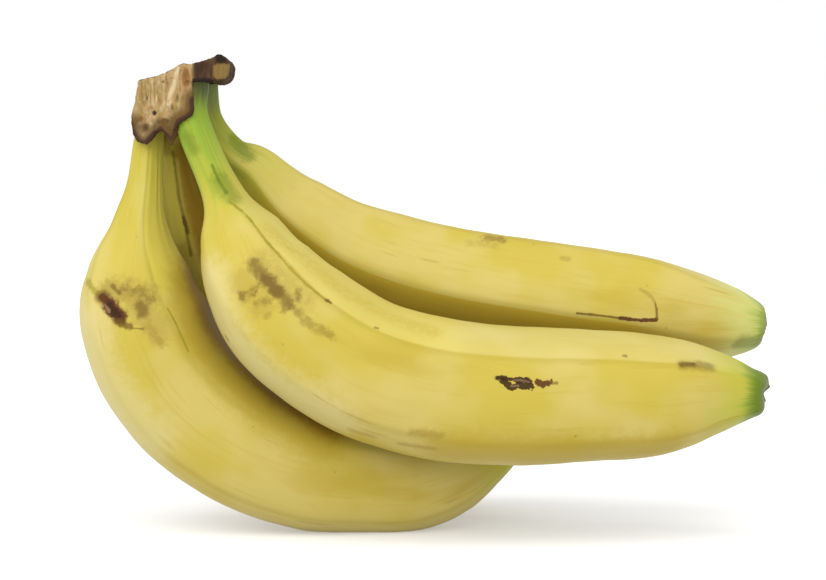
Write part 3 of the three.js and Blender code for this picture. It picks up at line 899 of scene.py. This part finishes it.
def crownMaterial():
    material, tree, shader = newMaterial("crownSkin")
    place = addNode(tree, "ShaderNodeTexCoord").outputs["Object"]
    fibre, broad, speck = (drawnNoise(tree, place, barkPlan, kind) for kind in ("fibre", "broad", "speck"))
    light = rampOf(tree, broad, *barkPlan["lightBark"])
    bark = mixOf(tree, light, barkTones["bark"], barkTones["barkLight"])
    yellow = rampOf(tree, broad, *barkPlan["yellowSawn"])
    sawn = mixOf(tree, yellow, barkTones["tan"], barkTones["yellowTan"])
    for field, ramp, tone in ((fibre, "creamFibres", "cream"), (fibre, "rustFibres", "rust"),
                              (speck, "darkSpecks", "web")):
        sawn = mixOf(tree, rampOf(tree, field, *barkPlan[ramp]), sawn, barkTones[tone])
    colour = mixOf(tree, attributeOf(tree, "sawn"), bark, sawn)
    # Each layer that the shaping wrote lays its own tone, with an edge frayed along the fibres
    for name, tone in (("paleShare", "cream"), ("orangeShare", "rust"), ("endShare", "endTan"),
                       ("webShare", "deepWeb"), ("rimShare", "rim"), ("darkShare", "black")):
        frayed = productOf(tree, fibre, barkPlan["fraying"])
        share = sumOf(tree, attributeOf(tree, name), frayed)
        colour = mixOf(tree, rampOf(tree, share, *barkPlan["layerEdge"]), colour, barkTones[tone])
    gloss = rampOf(tree, broad, *barkPlan["gloss"])
    feedAll(tree, shader, {"Base Color": colour, "Specular IOR Level": barkPlan["specular"],
                           "Roughness": gloss})
    relief = sumOf(tree, fibre, speck)
    reliefOn(tree, shader, relief, barkPlan["bumpStrength"], barkPlan["bumpHeight"])
    print("crown skin mixed")
    return material


for name, plan in fruitPlans.items():
    fruit = growFruit(name, plan)
    bpy.context.view_layer.update()
    fruit.data.materials.append(peelMaterial(name + "Peel", plan, fruit))
    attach(fruit, "root")
    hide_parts(plan["node"])

crown = growCrown(crownPlan)
crown.data.materials.append(crownMaterial())
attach(crown, "root")
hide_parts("crown")

# Stage: a pale floor in metres, a white sky, and two soft lights
stagePlan = {
    "floorSize": 30, "floorTone": (0.55, 0.55, 0.55), "floorRoughness": 0.9, "floorGlow": 0.35,
    "white": (1, 1, 1), "sky": 1,
    # Each light: the way it travels, its power, and its softness in degrees
    "lights": {"keyLight": ((0.22, 0.78, -0.9), 2.6, 60), "sideLight": ((1, 0.25, -0.25), 0.7, 60)},
}


def layFloor():
    bm = bmesh.new()
    bmesh.ops.create_grid(bm, x_segments=1, y_segments=1, size=stagePlan["floorSize"] / 2)
    floor = pieceFrom(bm, "floor")
    floorPaint, tree, shader = newMaterial("floorPaint")
    feedAll(tree, shader, {"Base Color": stagePlan["floorTone"], "Roughness": stagePlan["floorRoughness"],
                           "Emission Color": stagePlan["white"],
                           "Emission Strength": stagePlan["floorGlow"]})
    floor.data.materials.append(floorPaint)
    return floor


def lightSky():
    world = bpy.data.worlds.new("studio")
    world.use_nodes = True
    tree = world.node_tree
    feedAll(tree, tree.nodes["Background"], {"Color": stagePlan["white"], "Strength": stagePlan["sky"]})
    bpy.context.scene.world = world


def addSun(name, way, power, soft):
    light = bpy.data.lights.new(name, "SUN")
    light.energy = power
    light.angle = math.radians(soft)
    lamp = bpy.data.objects.new(name, light)
    lamp.rotation_euler = Vector(way).to_track_quat("-Z", "Y").to_euler()
    bpy.context.scene.collection.objects.link(lamp)


# The view: where it looks, from how far and how high, in degrees above the floor, and the lens
viewPlan = {"aim": (0.0, 8.0, 71.85), "distance": 690.0, "elevation": 3.0, "lens": 100.0}


def aimCamera():
    cameraData = bpy.data.cameras.new("camera")
    cameraData.lens = viewPlan["lens"]
    camera = bpy.data.objects.new("camera", cameraData)
    aim = (Vector(viewPlan["aim"]) + handMoved) * mm
    tilt = math.radians(viewPlan["elevation"])
    camera.location = aim + Vector((0, -math.cos(tilt), math.sin(tilt))) * viewPlan["distance"] * mm
    camera.rotation_euler = (math.radians(90) - tilt, 0, 0)
    bpy.context.scene.collection.objects.link(camera)
    bpy.context.scene.camera = camera


layFloor()
lightSky()
for name, light in stagePlan["lights"].items():
    addSun(name, *light)
aimCamera()
bpy.context.scene.view_settings.view_transform = "Standard"
print("stage set")
